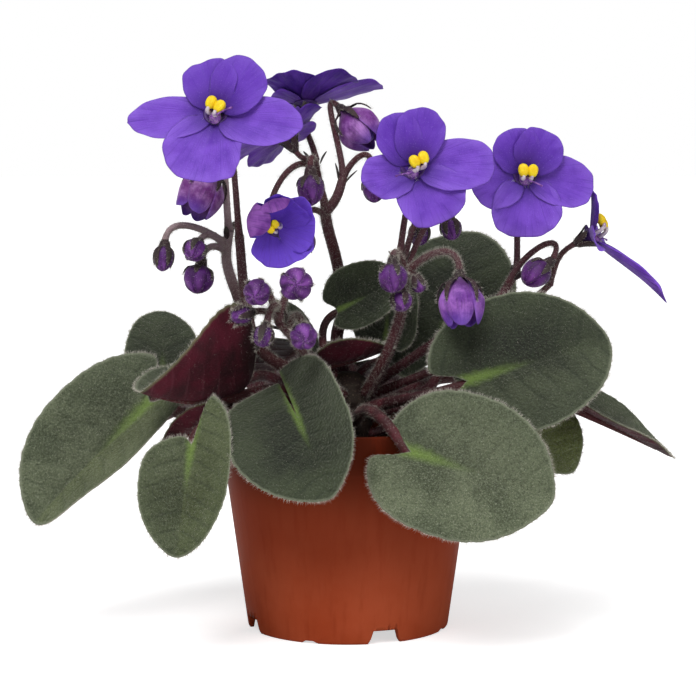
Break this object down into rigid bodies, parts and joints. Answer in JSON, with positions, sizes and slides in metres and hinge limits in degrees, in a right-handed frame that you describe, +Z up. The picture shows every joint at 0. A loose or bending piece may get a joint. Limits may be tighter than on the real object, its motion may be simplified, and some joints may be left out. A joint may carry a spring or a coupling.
{
  "type": "potted african violet",
  "caption": "Flowering african violet with broad hairy leaves, arching flower stalks, open violet flowers and round buds, rooted in a tapered plastic nursery pot with notched foot.",
  "frame": {"origin": "on the pot's vertical axis, level with the underside of its foot", "axes": "+Z up along the pot axis; the front of the plant faces -Y; +X is to the right seen from the front, along the widest spread of leaves"},
  "size_m": [0.2261, 0.1407, 0.1957],
  "materials": {
    "plastic": "satin terracotta-coloured moulded plastic",
    "soil": "dark damp peat compost",
    "stem": "scarred corky stem",
    "leaf": "velvety hairy leaf, dark green above and maroon below",
    "stalk": "hairy maroon stalk",
    "petal": "soft glittering violet petal",
    "pollen": "powdery yellow",
    "style": "smooth purple",
    "bud": "soft folded purple petals"
  },
  "bodies": {
    "root": {"pot": "plastic", "soil": "soil", "crown": "stem", "leaf_outer_left": "leaf", "leaf_back_left_upright": "leaf", "leaf_folded_left": "leaf", "leaf_low_left": "leaf", "leaf_front_left": "leaf", "leaf_front": "leaf", "leaf_front_right": "leaf", "leaf_right": "leaf", "leaf_low_right": "leaf", "leaf_outer_right": "leaf", "leaf_upright_back": "leaf", "leaf_young_cupped": "leaf", "leaf_young_inner": "leaf", "leaf_young_back": "leaf", "leaf_young_left": "leaf", "leaf_back_right": "leaf", "leaf_back": "leaf", "leaf_back_left": "leaf", "leaf_low_back_left": "leaf", "corolla_front_left": "petal", "stamens_front_left": "pollen", "pistil_front_left": "style", "corolla_top_back": "petal", "stamens_top_back": "pollen", "pistil_top_back": "style", "corolla_behind_left": "petal", "stamens_behind_left": "pollen", "corolla_centre": "petal", "stamens_centre": "pollen", "pistil_centre": "style", "corolla_right": "petal", "stamens_right": "pollen", "pistil_right": "style", "corolla_outer_right": "petal", "stamens_outer_right": "pollen", "pistil_outer_right": "style", "corolla_half_open": "petal", "stamens_half_open": "pollen", "bud_left_large": "bud", "bud_top_large": "bud", "bud_top_dark": "bud", "bud_top_hanging": "bud", "bud_left_round": "bud", "bud_centre_left": "bud", "bud_centre_right": "bud", "bud_centre_low": "bud", "bud_right_round": "bud", "bud_opening": "bud", "bud_right_arched": "bud", "stalk_front_flower": "stalk", "stalk_left_cluster": "stalk", "stalk_top_cluster": "stalk", "stalk_centre_flower": "stalk", "stalk_right_flower": "stalk", "stalk_outer_flower": "stalk", "stalk_centre_buds": "stalk", "stalk_right_buds": "stalk"}
  },
  "joints": []
}
